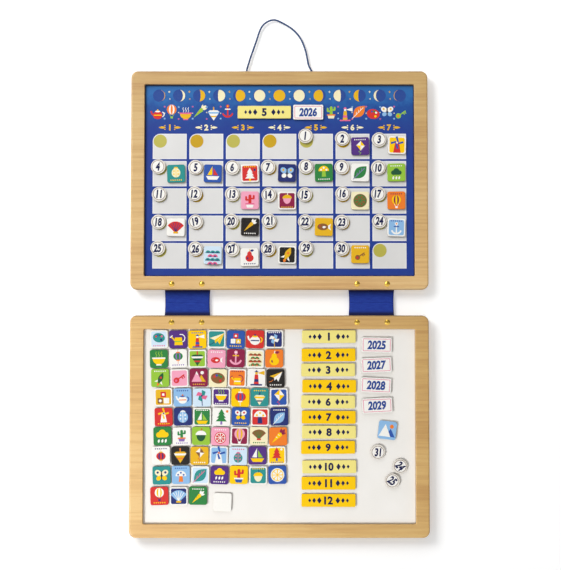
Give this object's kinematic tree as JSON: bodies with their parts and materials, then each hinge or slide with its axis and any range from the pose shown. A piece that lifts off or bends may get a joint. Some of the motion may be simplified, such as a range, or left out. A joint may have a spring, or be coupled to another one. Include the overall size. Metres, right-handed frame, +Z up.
{
  "type": "magnetic calendar board",
  "caption": "Wood-framed magnetic calendar and storage boards joined by fabric straps and hung by a cord loop, with number discs, picture tiles and month and year plates that lift off.",
  "frame": {"origin": "where a hook carries the cord loop: the underside of the cord on the boards' middle line, in the plane of the cord", "axes": "+X to the viewer's right, +Z up, +Y away from the viewer towards the wall, so the front faces -Y"},
  "size_m": [0.406, 0.0197, 0.711],
  "materials": {
    "frame_wood": "satin lacquer",
    "calendar_enamel": "printed gloss enamel",
    "storage_enamel": "gloss enamel",
    "fibreboard": "bare fibreboard",
    "staple_wire": "drawn wire",
    "rivet_brass": "polished",
    "strap_webbing": "woven",
    "cord": "braided",
    "printed_tile": "printed paper on fibreboard",
    "white_disc": "printed paper on fibreboard",
    "month_plate": "printed paper on fibreboard",
    "year_plate": "printed paper on fibreboard"
  },
  "bodies": {
    "calendar_board": {"upper_frame": "frame_wood", "calendar_panel": "calendar_enamel", "upper_backing_board": "fibreboard", "upper_backing_staples": "staple_wire", "upper_strap_rivets": "rivet_brass", "upper_rivet_washers": "rivet_brass", "left_strap_upper_tail": "strap_webbing", "right_strap_upper_tail": "strap_webbing", "hanging_cord": "cord", "cord_staples": "staple_wire"},
    "strap_spans": {"left_strap_span": "strap_webbing", "right_strap_span": "strap_webbing"},
    "storage_board": {"lower_frame": "frame_wood", "storage_panel": "storage_enamel", "lower_backing_board": "fibreboard", "lower_backing_staples": "staple_wire", "lower_strap_rivets": "rivet_brass", "lower_rivet_washers": "rivet_brass", "left_strap_lower_tail": "strap_webbing", "right_strap_lower_tail": "strap_webbing"},
    "header_month_plate": {"header_month_plate": "month_plate"},
    "header_year_plate": {"header_year_plate": "year_plate"},
    "day_discs_week_1": {"day_discs_week_1": "white_disc"},
    "day_discs_week_2": {"day_discs_week_2": "white_disc"},
    "day_discs_week_3": {"day_discs_week_3": "white_disc"},
    "day_discs_week_4": {"day_discs_week_4": "white_disc"},
    "day_discs_week_5": {"day_discs_week_5": "white_disc"},
    "event_tiles_week_1": {"event_tiles_week_1": "printed_tile"},
    "event_tiles_week_2": {"event_tiles_week_2": "printed_tile"},
    "event_tiles_week_3": {"event_tiles_week_3": "printed_tile"},
    "event_tiles_week_4": {"event_tiles_week_4": "printed_tile"},
    "event_tiles_week_5": {"event_tiles_week_5": "printed_tile"},
    "storage_tiles_row_1": {"storage_tiles_row_1": "printed_tile"},
    "storage_tiles_row_2": {"storage_tiles_row_2": "printed_tile"},
    "storage_tiles_row_3": {"storage_tiles_row_3": "printed_tile"},
    "storage_tiles_row_4": {"storage_tiles_row_4": "printed_tile"},
    "storage_tiles_row_5": {"storage_tiles_row_5": "printed_tile"},
    "storage_tiles_row_6": {"storage_tiles_row_6": "printed_tile"},
    "storage_tiles_row_7": {"storage_tiles_row_7": "printed_tile"},
    "storage_tiles_row_8": {"storage_tiles_row_8": "printed_tile"},
    "storage_tiles_row_9": {"storage_tiles_row_9": "printed_tile"},
    "month_plate_01": {"month_plate_01": "month_plate"},
    "month_plate_02": {"month_plate_02": "month_plate"},
    "month_plate_03": {"month_plate_03": "month_plate"},
    "month_plate_04": {"month_plate_04": "month_plate"},
    "month_plate_05": {"month_plate_05": "month_plate"},
    "month_plate_06": {"month_plate_06": "month_plate"},
    "month_plate_07": {"month_plate_07": "month_plate"},
    "month_plate_08": {"month_plate_08": "month_plate"},
    "month_plate_09": {"month_plate_09": "month_plate"},
    "month_plate_10": {"month_plate_10": "month_plate"},
    "month_plate_11": {"month_plate_11": "month_plate"},
    "year_plate_1": {"year_plate_1": "year_plate"},
    "year_plate_2": {"year_plate_2": "year_plate"},
    "year_plate_3": {"year_plate_3": "year_plate"},
    "year_plate_4": {"year_plate_4": "year_plate"},
    "loose_tile": {"loose_tile": "printed_tile"},
    "loose_disc_1": {"loose_disc_1": "white_disc"},
    "loose_disc_2": {"loose_disc_2": "white_disc"},
    "loose_disc_3": {"loose_disc_3": "white_disc"}
  },
  "joints": [
    {"name": "strap_fold", "type": "hinge", "parent": "calendar_board", "child": "strap_spans", "pos_m": [0, -0.0007, -0.3722], "axis": [1, 0, 0], "range_deg": [-90, 0]},
    {"name": "board_fold", "type": "hinge", "parent": "strap_spans", "child": "storage_board", "pos_m": [0, -0.0007, -0.4052], "axis": [1, 0, 0], "range_deg": [-90, 0]},
    {"name": "header_month_plate_lift", "type": "slide", "parent": "calendar_board", "child": "header_month_plate", "axis": [0, -1, 0], "range_m": [0, 0.03]},
    {"name": "header_year_plate_lift", "type": "slide", "parent": "calendar_board", "child": "header_year_plate", "axis": [0, -1, 0], "range_m": [0, 0.03]},
    {"name": "day_discs_week_1_lift", "type": "slide", "parent": "calendar_board", "child": "day_discs_week_1", "axis": [0, -1, 0], "range_m": [0, 0.03]},
    {"name": "day_discs_week_2_lift", "type": "slide", "parent": "calendar_board", "child": "day_discs_week_2", "axis": [0, -1, 0], "range_m": [0, 0.03]},
    {"name": "day_discs_week_3_lift", "type": "slide", "parent": "calendar_board", "child": "day_discs_week_3", "axis": [0, -1, 0], "range_m": [0, 0.03]},
    {"name": "day_discs_week_4_lift", "type": "slide", "parent": "calendar_board", "child": "day_discs_week_4", "axis": [0, -1, 0], "range_m": [0, 0.03]},
    {"name": "day_discs_week_5_lift", "type": "slide", "parent": "calendar_board", "child": "day_discs_week_5", "axis": [0, -1, 0], "range_m": [0, 0.03]},
    {"name": "event_tiles_week_1_lift", "type": "slide", "parent": "calendar_board", "child": "event_tiles_week_1", "axis": [0, -1, 0], "range_m": [0, 0.03]},
    {"name": "event_tiles_week_2_lift", "type": "slide", "parent": "calendar_board", "child": "event_tiles_week_2", "axis": [0, -1, 0], "range_m": [0, 0.03]},
    {"name": "event_tiles_week_3_lift", "type": "slide", "parent": "calendar_board", "child": "event_tiles_week_3", "axis": [0, -1, 0], "range_m": [0, 0.03]},
    {"name": "event_tiles_week_4_lift", "type": "slide", "parent": "calendar_board", "child": "event_tiles_week_4", "axis": [0, -1, 0], "range_m": [0, 0.03]},
    {"name": "event_tiles_week_5_lift", "type": "slide", "parent": "calendar_board", "child": "event_tiles_week_5", "axis": [0, -1, 0], "range_m": [0, 0.03]},
    {"name": "storage_tiles_row_1_lift", "type": "slide", "parent": "storage_board", "child": "storage_tiles_row_1", "axis": [0, -1, 0], "range_m": [0, 0.03]},
    {"name": "storage_tiles_row_2_lift", "type": "slide", "parent": "storage_board", "child": "storage_tiles_row_2", "axis": [0, -1, 0], "range_m": [0, 0.03]},
    {"name": "storage_tiles_row_3_lift", "type": "slide", "parent": "storage_board", "child": "storage_tiles_row_3", "axis": [0, -1, 0], "range_m": [0, 0.03]},
    {"name": "storage_tiles_row_4_lift", "type": "slide", "parent": "storage_board", "child": "storage_tiles_row_4", "axis": [0, -1, 0], "range_m": [0, 0.03]},
    {"name": "storage_tiles_row_5_lift", "type": "slide", "parent": "storage_board", "child": "storage_tiles_row_5", "axis": [0, -1, 0], "range_m": [0, 0.03]},
    {"name": "storage_tiles_row_6_lift", "type": "slide", "parent": "storage_board", "child": "storage_tiles_row_6", "axis": [0, -1, 0], "range_m": [0, 0.03]},
    {"name": "storage_tiles_row_7_lift", "type": "slide", "parent": "storage_board", "child": "storage_tiles_row_7", "axis": [0, -1, 0], "range_m": [0, 0.03]},
    {"name": "storage_tiles_row_8_lift", "type": "slide", "parent": "storage_board", "child": "storage_tiles_row_8", "axis": [0, -1, 0], "range_m": [0, 0.03]},
    {"name": "storage_tiles_row_9_lift", "type": "slide", "parent": "storage_board", "child": "storage_tiles_row_9", "axis": [0, -1, 0], "range_m": [0, 0.03]},
    {"name": "month_plate_01_lift", "type": "slide", "parent": "storage_board", "child": "month_plate_01", "axis": [0, -1, 0], "range_m": [0, 0.03]},
    {"name": "month_plate_02_lift", "type": "slide", "parent": "storage_board", "child": "month_plate_02", "axis": [0, -1, 0], "range_m": [0, 0.03]},
    {"name": "month_plate_03_lift", "type": "slide", "parent": "storage_board", "child": "month_plate_03", "axis": [0, -1, 0], "range_m": [0, 0.03]},
    {"name": "month_plate_04_lift", "type": "slide", "parent": "storage_board", "child": "month_plate_04", "axis": [0, -1, 0], "range_m": [0, 0.03]},
    {"name": "month_plate_05_lift", "type": "slide", "parent": "storage_board", "child": "month_plate_05", "axis": [0, -1, 0], "range_m": [0, 0.03]},
    {"name": "month_plate_06_lift", "type": "slide", "parent": "storage_board", "child": "month_plate_06", "axis": [0, -1, 0], "range_m": [0, 0.03]},
    {"name": "month_plate_07_lift", "type": "slide", "parent": "storage_board", "child": "month_plate_07", "axis": [0, -1, 0], "range_m": [0, 0.03]},
    {"name": "month_plate_08_lift", "type": "slide", "parent": "storage_board", "child": "month_plate_08", "axis": [0, -1, 0], "range_m": [0, 0.03]},
    {"name": "month_plate_09_lift", "type": "slide", "parent": "storage_board", "child": "month_plate_09", "axis": [0, -1, 0], "range_m": [0, 0.03]},
    {"name": "month_plate_10_lift", "type": "slide", "parent": "storage_board", "child": "month_plate_10", "axis": [0, -1, 0], "range_m": [0, 0.03]},
    {"name": "month_plate_11_lift", "type": "slide", "parent": "storage_board", "child": "month_plate_11", "axis": [0, -1, 0], "range_m": [0, 0.03]},
    {"name": "year_plate_1_lift", "type": "slide", "parent": "storage_board", "child": "year_plate_1", "axis": [0, -1, 0], "range_m": [0, 0.03]},
    {"name": "year_plate_2_lift", "type": "slide", "parent": "storage_board", "child": "year_plate_2", "axis": [0, -1, 0], "range_m": [0, 0.03]},
    {"name": "year_plate_3_lift", "type": "slide", "parent": "storage_board", "child": "year_plate_3", "axis": [0, -1, 0], "range_m": [0, 0.03]},
    {"name": "year_plate_4_lift", "type": "slide", "parent": "storage_board", "child": "year_plate_4", "axis": [0, -1, 0], "range_m": [0, 0.03]},
    {"name": "loose_tile_lift", "type": "slide", "parent": "storage_board", "child": "loose_tile", "axis": [0, -1, 0], "range_m": [0, 0.03]},
    {"name": "loose_disc_1_lift", "type": "slide", "parent": "storage_board", "child": "loose_disc_1", "axis": [0, -1, 0], "range_m": [0, 0.03]},
    {"name": "loose_disc_2_lift", "type": "slide", "parent": "storage_board", "child": "loose_disc_2", "axis": [0, -1, 0], "range_m": [0, 0.03]},
    {"name": "loose_disc_3_lift", "type": "slide", "parent": "storage_board", "child": "loose_disc_3", "axis": [0, -1, 0], "range_m": [0, 0.03]}
  ]
}
